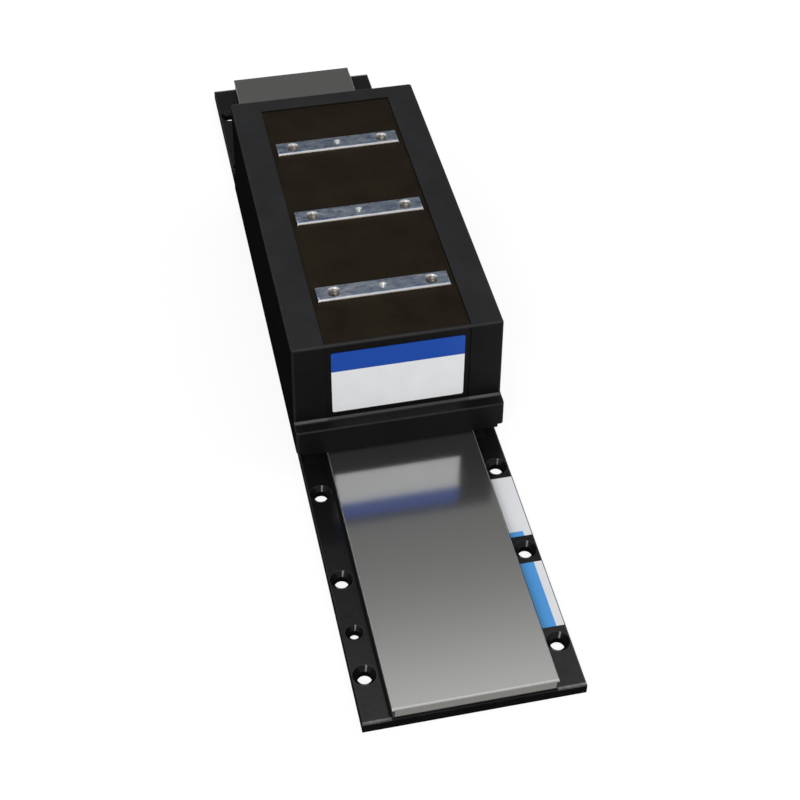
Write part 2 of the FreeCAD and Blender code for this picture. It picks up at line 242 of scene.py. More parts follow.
floor_mesh = bpy.data.meshes.new("floor")
half_floor = FLOOR_SIZE / 2
floor_mesh.from_pydata([(-half_floor, -half_floor, -FLOOR_DROP), (half_floor, -half_floor, -FLOOR_DROP),
                        (half_floor, half_floor, -FLOOR_DROP), (-half_floor, half_floor, -FLOOR_DROP)],
                       [], [(0, 1, 2, 3)])
floor = bpy.data.objects.new("floor", floor_mesh)
bpy.context.scene.collection.objects.link(floor)
paper = bpy.data.materials.new("white_paper")
paper.use_nodes = True
sheet = paper.node_tree
sheet.nodes.clear()
paint = add_node(sheet, "BsdfDiffuse", Color=PAPER_TONE)
shade_paint = add_node(sheet, "BsdfDiffuse", Color=SHADOW_TONE)
glow = add_node(sheet, "Emission", Color=(1, 1, 1, 1), Strength=PAPER_GLOW)
seen = add_node(sheet, "AddShader")
join(sheet, shade_paint.outputs["BSDF"], seen.inputs[0])
join(sheet, glow.outputs["Emission"], seen.inputs[1])
rays = add_node(sheet, "LightPath")
in_view = math_node(sheet, "MAXIMUM", rays.outputs["Is Camera Ray"], rays.outputs["Is Glossy Ray"])
in_view = math_node(sheet, "MAXIMUM", in_view, rays.outputs["Is Transmission Ray"])
choose = add_node(sheet, "MixShader")
join(sheet, in_view, choose.inputs["Fac"])
join(sheet, paint.outputs["BSDF"], choose.inputs[1])
join(sheet, seen.outputs["Shader"], choose.inputs[2])
paper_out = add_node(sheet, "OutputMaterial")
join(sheet, choose.outputs["Shader"], paper_out.inputs["Surface"])
floor_mesh.materials.append(paper)
floor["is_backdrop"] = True
print("floor of", FLOOR_SIZE, "m")

# %% [markdown]
# ## Shared effects
# Four effects turn up on several finishes, so each is built once as a node group and placed with
# its own values. The first is the grain of paint, mouldings and cast resin: a fine noise for the
# bump, mixed with a broad one for patches. Noise in object space needs no unwrapped mesh, which
# suits solids that come from a CAD program.

# %% Grain group
def new_group(name, inputs, outputs):
    """An empty node group. inputs are (name, type, default) and outputs are (name, type)."""
    group = bpy.data.node_groups.new(name, "ShaderNodeTree")
    for label, kind, default in inputs:
        socket = group.interface.new_socket(name=label, in_out="INPUT", socket_type="NodeSocket" + kind)
        socket.default_value = default
    for label, kind in outputs:
        group.interface.new_socket(name=label, in_out="OUTPUT", socket_type="NodeSocket" + kind)
    return group, group.nodes.new("NodeGroupInput"), group.nodes.new("NodeGroupOutput")


grain_group, g_in, g_out = new_group(
    "surface_grain",
    [("Grain Size mm", "Float", 0.5), ("Patch Size mm", "Float", 12.0), ("Grain Share", "Float", 0.5)],
    [("Height", "Float"), ("Patches", "Float")])
place = add_node(grain_group, "TexCoord")
grain_scale = math_node(grain_group, "DIVIDE", 1 / MM, g_in.outputs["Grain Size mm"])
fine = add_node(grain_group, "TexNoise", Detail=3.0, Roughness=0.6)
join(grain_group, place.outputs["Object"], fine.inputs["Vector"])
join(grain_group, grain_scale, fine.inputs["Scale"])
patch_scale = math_node(grain_group, "DIVIDE", 1 / MM, g_in.outputs["Patch Size mm"])
broad = add_node(grain_group, "TexNoise", Detail=4.0, Roughness=0.55)
join(grain_group, place.outputs["Object"], broad.inputs["Vector"])
join(grain_group, patch_scale, broad.inputs["Scale"])
grain_mix = add_node(grain_group, "Mix", data_type="FLOAT")
join(grain_group, g_in.outputs["Grain Share"], grain_mix.inputs["Factor"])
join(grain_group, broad.outputs["Fac"], grain_mix.inputs["A"])
join(grain_group, fine.outputs["Fac"], grain_mix.inputs["B"])
join(grain_group, grain_mix.outputs["Result"], g_out.inputs["Height"])
join(grain_group, broad.outputs["Fac"], g_out.inputs["Patches"])
print(grain_group.name, "has", len(grain_group.nodes), "nodes")

# %% [markdown]
# Rolled sheet and stacked core sheets have lines along one way. The same noise gives them, when its
# space is stretched along Y and squeezed across.

# %% Streak group
streak_group, s_in, s_out = new_group(
    "metal_streaks",
    [("Across mm", "Float", 0.4), ("Along mm", "Float", 40.0)],
    [("Streaks", "Float")])
place = add_node(streak_group, "TexCoord")
stretch = add_node(streak_group, "CombineXYZ")
across = math_node(streak_group, "DIVIDE", 1 / MM, s_in.outputs["Across mm"])
along = math_node(streak_group, "DIVIDE", 1 / MM, s_in.outputs["Along mm"])
join(streak_group, across, stretch.inputs["X"])
join(streak_group, along, stretch.inputs["Y"])
join(streak_group, across, stretch.inputs["Z"])
scaled = add_node(streak_group, "VectorMath", operation="MULTIPLY")
join(streak_group, place.outputs["Object"], scaled.inputs[0])
join(streak_group, stretch.outputs["Vector"], scaled.inputs[1])
lines = add_node(streak_group, "TexNoise", Scale=1.0, Detail=4.0, Roughness=0.65)
join(streak_group, scaled.outputs["Vector"], lines.inputs["Vector"])
join(streak_group, lines.outputs["Fac"], s_out.inputs["Streaks"])
print(streak_group.name, "has", len(streak_group.nodes), "nodes")

# %% [markdown]
# Edges are where paint wears and metal catches light. The lighter colour that the finishes give
# them is partly wear and partly a painted highlight. One could select and paint them, but the
# Bevel node finds them by itself: it averages the normal over a small radius, so wherever that
# differs from the true normal there is an edge. A noise breaks the line up.

# %% Edge group
# The gain of the lighter edges, which are partly wear and partly a painted highlight.
WEAR_AND_HIGHLIGHT_GAIN = 1.6

edge_group, e_in, e_out = new_group(
    "edge_mask",
    [("Low", "Float", 0.02), ("High", "Float", 0.25), ("Breakup mm", "Float", 3.0),
     ("Radius mm", "Float", 0.45)],
    [("Mask", "Float"), ("Normal", "Vector")])
rounded = add_node(edge_group, "Bevel", samples=6)
radius = math_node(edge_group, "MULTIPLY", e_in.outputs["Radius mm"], MM)
join(edge_group, radius, rounded.inputs["Radius"])
geometry = add_node(edge_group, "NewGeometry")
likeness = add_node(edge_group, "VectorMath", operation="DOT_PRODUCT")
join(edge_group, rounded.outputs["Normal"], likeness.inputs[0])
join(edge_group, geometry.outputs["True Normal"], likeness.inputs[1])
bend = math_node(edge_group, "SUBTRACT", 1.0, likeness.outputs["Value"])
breakup_scale = math_node(edge_group, "DIVIDE", 1 / MM, e_in.outputs["Breakup mm"])
place = add_node(edge_group, "TexCoord")
breakup = add_node(edge_group, "TexNoise", Detail=3.0)
join(edge_group, place.outputs["Object"], breakup.inputs["Vector"])
join(edge_group, breakup_scale, breakup.inputs["Scale"])
edge_range = add_node(edge_group, "MapRange")
join(edge_group, bend, edge_range.inputs["Value"])
join(edge_group, e_in.outputs["Low"], edge_range.inputs["From Min"])
join(edge_group, e_in.outputs["High"], edge_range.inputs["From Max"])
worn_and_lit = math_node(edge_group, "MULTIPLY", edge_range.outputs["Result"], breakup.outputs["Fac"])
worn_and_lit = math_node(edge_group, "MULTIPLY", worn_and_lit, WEAR_AND_HIGHLIGHT_GAIN)
join(edge_group, worn_and_lit, e_out.inputs["Mask"])
join(edge_group, rounded.outputs["Normal"], e_out.inputs["Normal"])
print(edge_group.name, "has", len(edge_group.nodes), "nodes")

# %% [markdown]
# Gloss from handling, painted light on the top and a ground surface all belong to faces that look
# one way. The last group reads the normal of the object, and puts out how far a face looks up and
# how far it looks along the rail.

# %% Facing group
facing_group, f_in, f_out = new_group(
    "facing_masks",
    [("Low", "Float", 0.25), ("High", "Float", 0.60)],
    [("Up", "Float"), ("Ends", "Float")])
place = add_node(facing_group, "TexCoord")
slope = add_node(facing_group, "SeparateXYZ")
join(facing_group, place.outputs["Normal"], slope.inputs["Vector"])
along_rail = math_node(facing_group, "ABSOLUTE", slope.outputs["Y"])
for label, share in (("Up", slope.outputs["Z"]), ("Ends", along_rail)):
    facing = add_node(facing_group, "MapRange")
    join(facing_group, share, facing.inputs["Value"])
    join(facing_group, f_in.outputs["Low"], facing.inputs["From Min"])
    join(facing_group, f_in.outputs["High"], facing.inputs["From Max"])
    join(facing_group, facing.outputs["Result"], f_out.inputs[label])
print(facing_group.name, "has", len(facing_group.nodes), "nodes")

# %% [markdown]
# ## Finishes
# Every finish starts from the same small frame: one Principled shader, the grain group for colour
# patches, roughness and bump, and the edge mask for lighter edges, which are partly wear and
# partly a painted highlight. What differs is named in the call.

# %% Finish helpers
NOISE_LOW, NOISE_HIGH = 0.3, 0.7


def new_finish(name, metallic=0.0, specular=0.5):
    """A material with a Principled shader. Returns the material, its tree and the shader."""
    material = bpy.data.materials.new(name)
    material.use_nodes = True
    tree = material.node_tree
    shader = tree.nodes["Principled BSDF"]
    shader.inputs["Metallic"].default_value = metallic
    shader.inputs["Specular IOR Level"].default_value = specular
    return material, tree, shader


def use_group(tree, group, **values):
    """Place a node group and set its inputs. Underscores in the names stand for spaces."""
    node = tree.nodes.new("ShaderNodeGroup")
    node.node_tree = group
    for name, value in values.items():
        node.inputs[name.replace("_", " ")].default_value = value
    return node


def mix_colour(tree, factor, first, second):
    """Mix two colours. Each is a socket or a plain colour."""
    node = add_node(tree, "Mix", data_type="RGBA")
    join(tree, factor, node.inputs["Factor"])
    for label, value in (("A", first), ("B", second)):
        socket = [s for s in node.inputs if s.name == label and s.type == "RGBA"][0]
        if isinstance(value, tuple):
            socket.default_value = (*value, 1)
        else:
            join(tree, value, socket)
    return [s for s in node.outputs if s.type == "RGBA"][0]


def remap(tree, value, low, high):
    """Map the usual range of a noise onto low to high."""
    node = add_node(tree, "MapRange")
    join(tree, value, node.inputs["Value"])
    node.inputs["From Min"].default_value = NOISE_LOW
    node.inputs["From Max"].default_value = NOISE_HIGH
    node.inputs["To Min"].default_value = low
    node.inputs["To Max"].default_value = high
    return node.outputs["Result"]


def bump(tree, shader, height, strength, depth_mm, normal=None):
    """Bump from height, of depth_mm, on top of a normal."""
    node = add_node(tree, "Bump", Strength=strength, Distance=depth_mm * MM)
    join(tree, height, node.inputs["Height"])
    if normal is not None:
        join(tree, normal, node.inputs["Normal"])
    join(tree, node.outputs["Normal"], shader.inputs["Normal"])


print("finish helpers ready")

# %% [markdown]
# What is printed or worn at a known place needs a mask of the place. An image would need an
# unwrapped mesh and would blur close up. A band compares the object's own coordinate with two
# limits, so it stays sharp.

# %% Band masks
BAND_SOFTNESS = 0.02


def band(tree, axis, low, high):
    """A mask that is 1 where the object's axis lies between low and high, in millimetres."""
    place = add_node(tree, "TexCoord")
    split = add_node(tree, "SeparateXYZ")
    join(tree, place.outputs["Object"], split.inputs["Vector"])
    edges = []
    for start, rising in ((low, True), (high, False)):
        step = add_node(tree, "MapRange")
        join(tree, split.outputs[axis], step.inputs["Value"])
        step.inputs["From Min"].default_value = (start - BAND_SOFTNESS) * MM
        step.inputs["From Max"].default_value = (start + BAND_SOFTNESS) * MM
        step.inputs["To Min"].default_value = 0.0 if rising else 1.0
        step.inputs["To Max"].default_value = 1.0 if rising else 0.0
        edges.append(step.outputs["Result"])
    return math_node(tree, "MULTIPLY", *edges)


def all_bands(tree, bands):
    """A mask that is 1 where all the bands overlap. Each is an axis and its two limits."""
    mask = None
    for axis, low, high in bands:
        strip = band(tree, axis, low, high)
        mask = strip if mask is None else math_node(tree, "MULTIPLY", mask, strip)
    return mask


print("band masks are soft over", 2 * BAND_SOFTNESS, "mm")

# %% [markdown]
# Most surfaces here are painted, moulded or cast. One function dresses them all. A surface that is
# handled on top gets more from it: what faces up gets a gloss, a lighter tone that is painted light,
# and lighter edges, partly wear and partly a painted highlight. The area given as plain_area keeps
# that painted edge highlight off the edges of an opening and off the rail's edge under the cover's
# lip, which lies in shade. The strips at the rail's ends are partly rubbed and partly a painted
# highlight, and a pale painted highlight lies in the creases, where an ambient occlusion node finds
# that walls stand close by.

# %% Coated finish
UPRIGHT_GLOSS = 0.009
FAR = 1000.0
CREASE_REACH = 1.6
CREASE_OPEN, CREASE_CLOSED = 0.95, 0.65
LEAST_COAT = 0.7
PATCH_SIZE = 14.0
GRAIN_SHARE = 0.6


def coated_finish(name, dark, light, edge_wear_and_highlight, roughness, grain_mm, bump_mm, specular=0.5,
                  edge_range=(0.02, 0.25), up_range=None, painted_top_light=None, top_light_above=-FAR, coat=0.0,
                  coat_roughness=0.3, ends_gloss=0.0, plain_area=None, worn_and_lit_strips=(),
                  crease_highlight_colour=None):
    """A painted, moulded or cast surface: patchy colour, grain, lighter edges from wear and a painted
    highlight, and painted light on what faces up.
    """
    material, tree, shader = new_finish(name, specular=specular)
    grain = use_group(tree, grain_group, Grain_Size_mm=grain_mm, Patch_Size_mm=PATCH_SIZE,
                      Grain_Share=GRAIN_SHARE)
    grain_height = grain.outputs["Height"]
    edges = use_group(tree, edge_group, Low=edge_range[0], High=edge_range[1])
    colour = mix_colour(tree, remap(tree, grain_height, 0.0, 1.0), dark, light)
    # Lighter edges, partly wear and partly a painted highlight.
    worn_and_lit_edges = edges.outputs["Mask"]
    # Strips at the ends, partly rubbed and partly a painted highlight.
    for strip in worn_and_lit_strips:
        worn_and_lit = math_node(tree, "MULTIPLY", band(tree, *strip), remap(tree, grain_height, 0.2, 1.0))
        worn_and_lit_edges = math_node(tree, "MAXIMUM", worn_and_lit_edges, worn_and_lit)
    # The plain area gets no painted edge highlight, as under the cover's lip, where the edge lies in
    # shade.
    if plain_area is not None:
        elsewhere = math_node(tree, "SUBTRACT", 1.0, all_bands(tree, plain_area))
        worn_and_lit_edges = math_node(tree, "MULTIPLY", worn_and_lit_edges, elsewhere)
    if up_range is not None:
        facing = use_group(tree, facing_group, Low=up_range[0], High=up_range[1])
        upward = facing.outputs["Up"]
        # Painted light: what faces up gets a lighter tone, above the given height only, so a lower
        # ledge stays dark as painted shade.
        painted_top_mask = math_node(tree, "MULTIPLY", upward, remap(tree, grain_height, 0.5, 1.0))
        painted_top_mask = math_node(tree, "MULTIPLY", painted_top_mask, band(tree, "Z", top_light_above, FAR))
        colour = mix_colour(tree, painted_top_mask, colour, painted_top_light)
        shine = math_node(tree, "MAXIMUM", upward, UPRIGHT_GLOSS)
        end_shine = math_node(tree, "MULTIPLY", facing.outputs["Ends"], ends_gloss)
        shine = math_node(tree, "MAXIMUM", shine, end_shine)
        glossy = math_node(tree, "MULTIPLY", shine, remap(tree, grain_height, LEAST_COAT * coat, coat))
        join(tree, glossy, shader.inputs["Coat Weight"])
        shader.inputs["Coat Roughness"].default_value = coat_roughness
        worn_and_lit_edges = math_node(tree, "MULTIPLY", worn_and_lit_edges, upward)
    # A painted highlight: a pale colour in the creases, where ambient occlusion finds walls close by.
    if crease_highlight_colour is not None:
        nook = add_node(tree, "AmbientOcclusion", samples=8, only_local=True,
                        Distance=CREASE_REACH * MM)
        closeness = add_node(tree, "MapRange", From_Min=CREASE_OPEN, From_Max=CREASE_CLOSED)
        join(tree, nook.outputs["AO"], closeness.inputs["Value"])
        painted_crease_highlight = math_node(tree, "MULTIPLY", closeness.outputs["Result"], upward)
        colour = mix_colour(tree, painted_crease_highlight, colour, crease_highlight_colour)
    colour = mix_colour(tree, worn_and_lit_edges, colour, edge_wear_and_highlight)
    join(tree, colour, shader.inputs["Base Color"])
    join(tree, remap(tree, grain.outputs["Patches"], *roughness), shader.inputs["Roughness"])
    bump(tree, shader, grain_height, 1.0, bump_mm, edges.outputs["Normal"])
    return material


print("coated finish ready, creases reach", CREASE_REACH, "mm")

# %% [markdown]
# The black finishes come first. The rail is ground on top and has a thin glossy black coat there,
# while its sawn ends stay matt, so the gloss is a clear coat that only covers what faces up. One
# could give each face its own material, but a mask of the normal needs no picking of faces.

# %% Rail coat
# The strips at the rail's ends are partly rubbed and partly a painted highlight.
WORN_AND_LIT_END = 1.3
low, high = (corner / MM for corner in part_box("rail_base_plate"))
cover_low, cover_high = (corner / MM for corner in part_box("magnet_cover"))
# The top tone is painted light; the lighter edges are partly wear and partly a painted highlight, kept
# off the edge under the cover, which lies in shade.
rail_coat = coated_finish(
    "rail_black_coat", (0.0030, 0.0030, 0.0034), (0.0065, 0.0065, 0.0070), (0.20, 0.20, 0.20),
    (0.55, 0.70), grain_mm=1.8, bump_mm=0.022, specular=0.0, up_range=(0.56, 0.94),
    painted_top_light=(0.0062, 0.0062, 0.0066), coat=0.95, coat_roughness=0.14,
    plain_area=[("X", cover_low.x, cover_high.x)],
    worn_and_lit_strips=[("Y", low.y, low.y + WORN_AND_LIT_END), ("Y", high.y - WORN_AND_LIT_END, high.y)])
print("rail coat, rubbed over", WORN_AND_LIT_END, "mm at its ends")

# %% [markdown]
# The case is a matt moulding. Its upper faces are a little shiny from handling, and their grey tone
# is painted light, which stops above the ledge, so that the ledge stays dark as painted shade. A
# pale painted highlight lies in the crease of its ledge. The edge of the window stays black, so it
# is left out of the lighter edges.

# %% Case moulding
WINDOW_MARGIN = 0.6
TOP_LIGHT_DEPTH = 4.0
low, high = (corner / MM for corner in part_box("laminated_core"))
core_window = [("X", low.x - WINDOW_MARGIN, high.x + WINDOW_MARGIN),
               ("Y", low.y - WINDOW_MARGIN, high.y + WINDOW_MARGIN)]
# The grey top tone is painted light, the crease colour a painted highlight, and the edge colour partly
# wear and partly a painted highlight.
case_moulding = coated_finish(
    "case_matt_black", (0.0034, 0.0034, 0.0034), (0.0064, 0.0062, 0.0059), (0.075, 0.075, 0.08),
    (0.60, 0.75), grain_mm=0.35, bump_mm=0.01, specular=0.0, edge_range=(0.005, 0.10),
    up_range=(0.25, 0.60), painted_top_light=(0.0225, 0.023, 0.0245), top_light_above=high.z - TOP_LIGHT_DEPTH,
    coat=0.35, coat_roughness=0.40, ends_gloss=0.6, plain_area=core_window,
    crease_highlight_colour=(0.20, 0.20, 0.20))
print("case moulding, grey above", round(high.z - TOP_LIGHT_DEPTH, 2), "mm")

# %% [markdown]
# Resin holds the magnets and fills the case, and the glands are rubber. These are plain dark
# stuffs, so a few tones and a grain are enough for each.

# %% Resins and rubber
bed_resin = coated_finish(
    "bed_black_resin", (0.008, 0.008, 0.008), (0.016, 0.016, 0.016), (0.03, 0.03, 0.03),
    (0.55, 0.70), grain_mm=0.5, bump_mm=0.03)
casting_resin = coated_finish(
    "casting_resin", (0.010, 0.010, 0.011), (0.020, 0.020, 0.022), (0.03, 0.03, 0.03),
    (0.35, 0.55), grain_mm=1.2, bump_mm=0.04)
gland_rubber = coated_finish(
    "gland_rubber", (0.010, 0.010, 0.010), (0.020, 0.020, 0.020), (0.04, 0.04, 0.04),
    (0.60, 0.80), grain_mm=0.25, bump_mm=0.03)
print("resins and rubber:", bed_resin.name, casting_resin.name, gland_rubber.name)

# %% [markdown]
# The core is brown with varnish, and the sheets that it is stacked from show as faint lines along
# the travel. Modelling some hundred sheets would cost much and show little, so the streak group
# draws them.

# %% Core varnish
core_varnish, tree, shader = new_finish("core_brown_varnish", specular=0.08)
grain = use_group(tree, grain_group, Grain_Size_mm=1.4, Patch_Size_mm=16.0, Grain_Share=0.35)
sheets = use_group(tree, streak_group, Across_mm=0.5, Along_mm=60.0)
blotches = remap(tree, grain.outputs["Height"], 0.0, 1.0)
tone = mix_colour(tree, blotches, (0.0091, 0.0061, 0.0029), (0.0181, 0.0134, 0.0070))
lines = remap(tree, sheets.outputs["Streaks"], 0.0, 0.35)
tone = mix_colour(tree, lines, tone, (0.0075, 0.0056, 0.0030))
join(tree, tone, shader.inputs["Base Color"])
join(tree, remap(tree, grain.outputs["Patches"], 0.38, 0.55), shader.inputs["Roughness"])
bump(tree, shader, sheets.outputs["Streaks"], 0.6, 0.03)
print("core varnish:", core_varnish.name)

# %% [markdown]
# Bright metals are metallic, apart from a faint haze. The cover is smooth cold-rolled stainless
# sheet: almost a mirror, with that haze and streaks along the rail, a painted highlight along its
# long edges, and a darker colour where it is bent down at its ends, which is a painted darker
# reflection. The bars are zinc plated, bluish and a little rougher, and their tapped holes are bare
# steel, whose colour is darkened as painted shade inside the holes.

# %% Bright metals
EDGE_ROUGHNESS = 0.6


def bright_metal(name, dark, light, roughness, across_mm, along_mm, bump_mm, edge_wear_and_highlight,
                 edge_range=(0.02, 0.25), edge_facing=None, haze=0.0, end_tone_and_shade=None,
                 side_range=(0.25, 0.60)):
    """A metal with streaks in colour and roughness, and lighter edges, partly wear and partly a painted
    highlight. haze is the share that scatters as paint does.
    """
    material, tree, shader = new_finish(name, metallic=1.0 - haze)
    streaks = use_group(tree, streak_group, Across_mm=across_mm, Along_mm=along_mm)
    edges = use_group(tree, edge_group, Low=edge_range[0], High=edge_range[1])
    colour = mix_colour(tree, remap(tree, streaks.outputs["Streaks"], 0.0, 1.0), dark, light)
    # The end faces get their own colour: a tint on the bars, and on the cover's bent ends a darker
    # colour that is a painted darker reflection.
    if end_tone_and_shade is not None:
        facing = use_group(tree, facing_group, Low=side_range[0], High=side_range[1])
        colour = mix_colour(tree, facing.outputs["Ends"], colour, end_tone_and_shade)
    # Lighter edges, partly wear and partly a painted highlight.
    worn_and_lit_edges = edges.outputs["Mask"]
    if edge_facing is not None:
        upward = use_group(tree, facing_group, Low=edge_facing[0], High=edge_facing[1]).outputs["Up"]
        worn_and_lit_edges = math_node(tree, "MULTIPLY", worn_and_lit_edges, upward)
    colour = mix_colour(tree, worn_and_lit_edges, colour, edge_wear_and_highlight)
    join(tree, colour, shader.inputs["Base Color"])
    rough = math_node(tree, "MAXIMUM", remap(tree, streaks.outputs["Streaks"], *roughness),
                      math_node(tree, "MULTIPLY", worn_and_lit_edges, EDGE_ROUGHNESS))
    join(tree, rough, shader.inputs["Roughness"])
    bump(tree, shader, streaks.outputs["Streaks"], 0.5, bump_mm, edges.outputs["Normal"])
    return material


# The cover's long edges get a painted highlight, and its bent-down ends a painted darker reflection.
cover_steel = bright_metal(
    "cover_stainless", (0.445, 0.445, 0.435), (0.455, 0.455, 0.445), (0.125, 0.135), 0.8, 60.0,
    0.0002, (0.72, 0.72, 0.70), edge_range=(0.004, 0.05), edge_facing=(0.1, 0.4), haze=0.045,
    end_tone_and_shade=(0.19, 0.185, 0.175), side_range=(0.80, 0.97))
bar_zinc = bright_metal(
    "bar_zinc_plating", (0.25, 0.34, 0.54), (0.64, 0.70, 0.76), (0.24, 0.36), 4.5, 2.2,
    0.0005, (0.65, 0.61, 0.57), end_tone_and_shade=(0.60, 0.55, 0.50), side_range=(0.25, 0.75))
# Bare steel, with a darker colour that is painted shade inside the tapped holes.
shaded_bore_steel = bright_metal(
    "shaded_bore_steel", (0.25, 0.235, 0.21), (0.38, 0.355, 0.32), (0.35, 0.50), 1.0, 1.0,
    0.002, (0.46, 0.43, 0.39))
magnet_nickel = bright_metal(
    "magnet_nickel", (0.58, 0.56, 0.52), (0.66, 0.64, 0.60), (0.15, 0.25), 2.0, 2.0,
    0.005, (0.70, 0.68, 0.64))
winding_copper = bright_metal(
    "winding_copper", (0.55, 0.22, 0.10), (0.75, 0.36, 0.18), (0.25, 0.40), 30.0, 0.8,
    0.15, (0.70, 0.32, 0.16))
metals = (cover_steel, bar_zinc, shaded_bore_steel, magnet_nickel, winding_copper)
print("bright metals:", [metal.name for metal in metals])

# %% [markdown]
# The insulation, the board and the sensor are hidden in the casting, but they still get a finish of
# their own.

# %% Hidden finishes
insulation = coated_finish(
    "insulation_sheet", (0.46, 0.41, 0.28), (0.60, 0.54, 0.38), (0.62, 0.56, 0.42),
    (0.50, 0.65), grain_mm=0.6, bump_mm=0.02)
board_laminate = coated_finish(
    "board_laminate", (0.06, 0.16, 0.07), (0.09, 0.22, 0.10), (0.30, 0.32, 0.20),
    (0.30, 0.45), grain_mm=0.8, bump_mm=0.01)
sensor_body = coated_finish(
    "sensor_body", (0.05, 0.05, 0.16), (0.08, 0.08, 0.24), (0.20, 0.20, 0.30),
    (0.30, 0.45), grain_mm=0.5, bump_mm=0.01)
print("hidden finishes:", insulation.name, board_laminate.name, sensor_body.name)

# %% [markdown]
# ## Nameplate and stickers
# The nameplate has a blue band along its top, and the rest is pale metal left bare. The stickers on
# the rail are printed film: one is mostly blue with a white strip at the rail's edge, and the other
# mostly white with a short blue end. The bands are masks of the place on the object, so they stay
# sharp at any distance.

# %% Printed finishes
GROUND_SHADE = 0.93
PLATE_BAND_SHARE = 0.31
LABEL_BLUE_SHARE = 0.64
LABEL_BLUE_END = 2.4
LABEL_GROUND = (0.66, 0.67, 0.69)
LABEL_INK = (0.065, 0.27, 0.60)


def printed_finish(name, ground, ink, masks, roughness):
    """Printed film or metal: an ink colour on a ground, where all the masks overlap."""
    material, tree, shader = new_finish(name, specular=0.25)
    grain = use_group(tree, grain_group, Grain_Size_mm=0.3, Patch_Size_mm=9.0, Grain_Share=0.3)
    printed = all_bands(tree, masks)
    shade = remap(tree, grain.outputs["Height"], 0.0, 1.0)
    darker = tuple(GROUND_SHADE * c for c in ground)
    colour = mix_colour(tree, printed, mix_colour(tree, shade, darker, ground), ink)
    join(tree, colour, shader.inputs["Base Color"])
    join(tree, remap(tree, grain.outputs["Patches"], *roughness), shader.inputs["Roughness"])
    bump(tree, shader, grain.outputs["Height"], 0.4, 0.004)
    return material


plate_low, plate_high = (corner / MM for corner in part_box("nameplate"))
band_bottom = plate_high.z - PLATE_BAND_SHARE * (plate_high.z - plate_low.z)
nameplate_print = printed_finish("nameplate_print", (0.79, 0.80, 0.81), (0.006, 0.062, 0.36),
                                 [("Z", band_bottom, FAR)], (0.28, 0.40))
low, high = (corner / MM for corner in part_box("rail_label_front"))
blue_edge = low.x + LABEL_BLUE_SHARE * (high.x - low.x)
front_label_print = printed_finish("front_label_print", LABEL_GROUND, LABEL_INK,
                                   [("X", -FAR, blue_edge)], (0.30, 0.42))
low, high = (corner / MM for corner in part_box("rail_label_rear"))
rear_label_print = printed_finish("rear_label_print", LABEL_GROUND, LABEL_INK,
                                  [("X", -FAR, blue_edge), ("Y", -FAR, low.y + LABEL_BLUE_END)],
                                  (0.30, 0.42))
print("band bottom at", round(band_bottom, 2), "mm, blue edge at", round(blue_edge, 2), "mm")

# %% [markdown]
# ## Dressing the solids
# A finish sits on a mesh, so one table from node to finish dresses the whole part. Pieces of one
# stuff share a finish, as the magnets do, and hidden pieces get theirs too, so that the part also
# looks right when it is taken apart.

# %% Give every node its finish
finishes = {
    "rail_base_plate": rail_coat, "magnets_north": magnet_nickel, "magnets_south": magnet_nickel,
    "magnet_bed": bed_resin, "magnet_cover": cover_steel, "rail_label_front": front_label_print,
    "rail_label_rear": rear_label_print, "moulded_case": case_moulding, "base_sheet": insulation,
    "laminated_core": core_varnish, "slot_liners": insulation, "slot_wedges": insulation,
    "winding_phase_u": winding_copper, "winding_phase_v": winding_copper,
    "winding_phase_w": winding_copper, "phase_links": winding_copper, "star_link": winding_copper,
    "terminal_board": board_laminate,
    "thermal_sensor": sensor_body, "potting_resin": casting_resin, "lead_glands": gland_rubber,
    "nameplate": nameplate_print, "mounting_bar_front": bar_zinc, "mounting_bar_middle": bar_zinc,
    "mounting_bar_rear": bar_zinc,
}
for name, material in finishes.items():
    mesh = nodes[name].data
    mesh.materials.clear()
    mesh.materials.append(material)
print("dressed", len(finishes), "of", len(nodes), "nodes")

# %% [markdown]
# ## Mounting bars
# The slide of the machine is screwed to three zinc plated T-bars, which sit in slots of the core.
# The solids have plain bores and flat chamfers. On the real bars the edges are rounded, so they
# draw a soft white line, and the screw threads catch the light inside the holes, so both are
# modelled here. The blank is a T drawn from the end and pushed along the bar, and its upper edges
# are bevelled.

# %% Bar blank
BAR_NECK = 8.6 * MM
BAR_FOOT_HEIGHT = 4.8 * MM
BAR_ROUNDING = 0.7 * MM
ROUNDING_STEPS = 3


def bar_blank(low, high):
    """A T-bar that fills the box from low to high, with rounded upper edges."""
    middle = (low.y + high.y) / 2
    shoulder = low.z + BAR_FOOT_HEIGHT
    half = BAR_NECK / 2
    outline = [(low.y, low.z), (high.y, low.z), (high.y, shoulder), (middle + half, shoulder),
               (middle + half, high.z), (middle - half, high.z), (middle - half, shoulder),
               (low.y, shoulder)]
    blank = bmesh.new()
    ends = [[blank.verts.new((x, y, z)) for y, z in outline] for x in (low.x, high.x)]
    blank.faces.new(reversed(ends[0]))
    blank.faces.new(ends[1])
    for first in range(len(outline)):
        second = (first + 1) % len(outline)
        blank.faces.new((ends[0][first], ends[0][second], ends[1][second], ends[1][first]))
    above = [e for e in blank.edges if min(v.co.z for v in e.verts) > high.z - BAR_ROUNDING]
    bmesh.ops.bevel(blank, geom=above, offset=BAR_ROUNDING, segments=ROUNDING_STEPS, profile=0.5,
                    affect="EDGES")
    return blank


print("bar neck in mm:", BAR_NECK / MM)

# %% [markdown]
# A tapped hole is cut with a plug: rings of points whose radius swells and shrinks along the
# thread's spiral, with a wider mouth. Cutting it out with an exact boolean leaves a real thread in
# the wall. The centre mark is the dent of a drill's tip, so its plug is a cone.

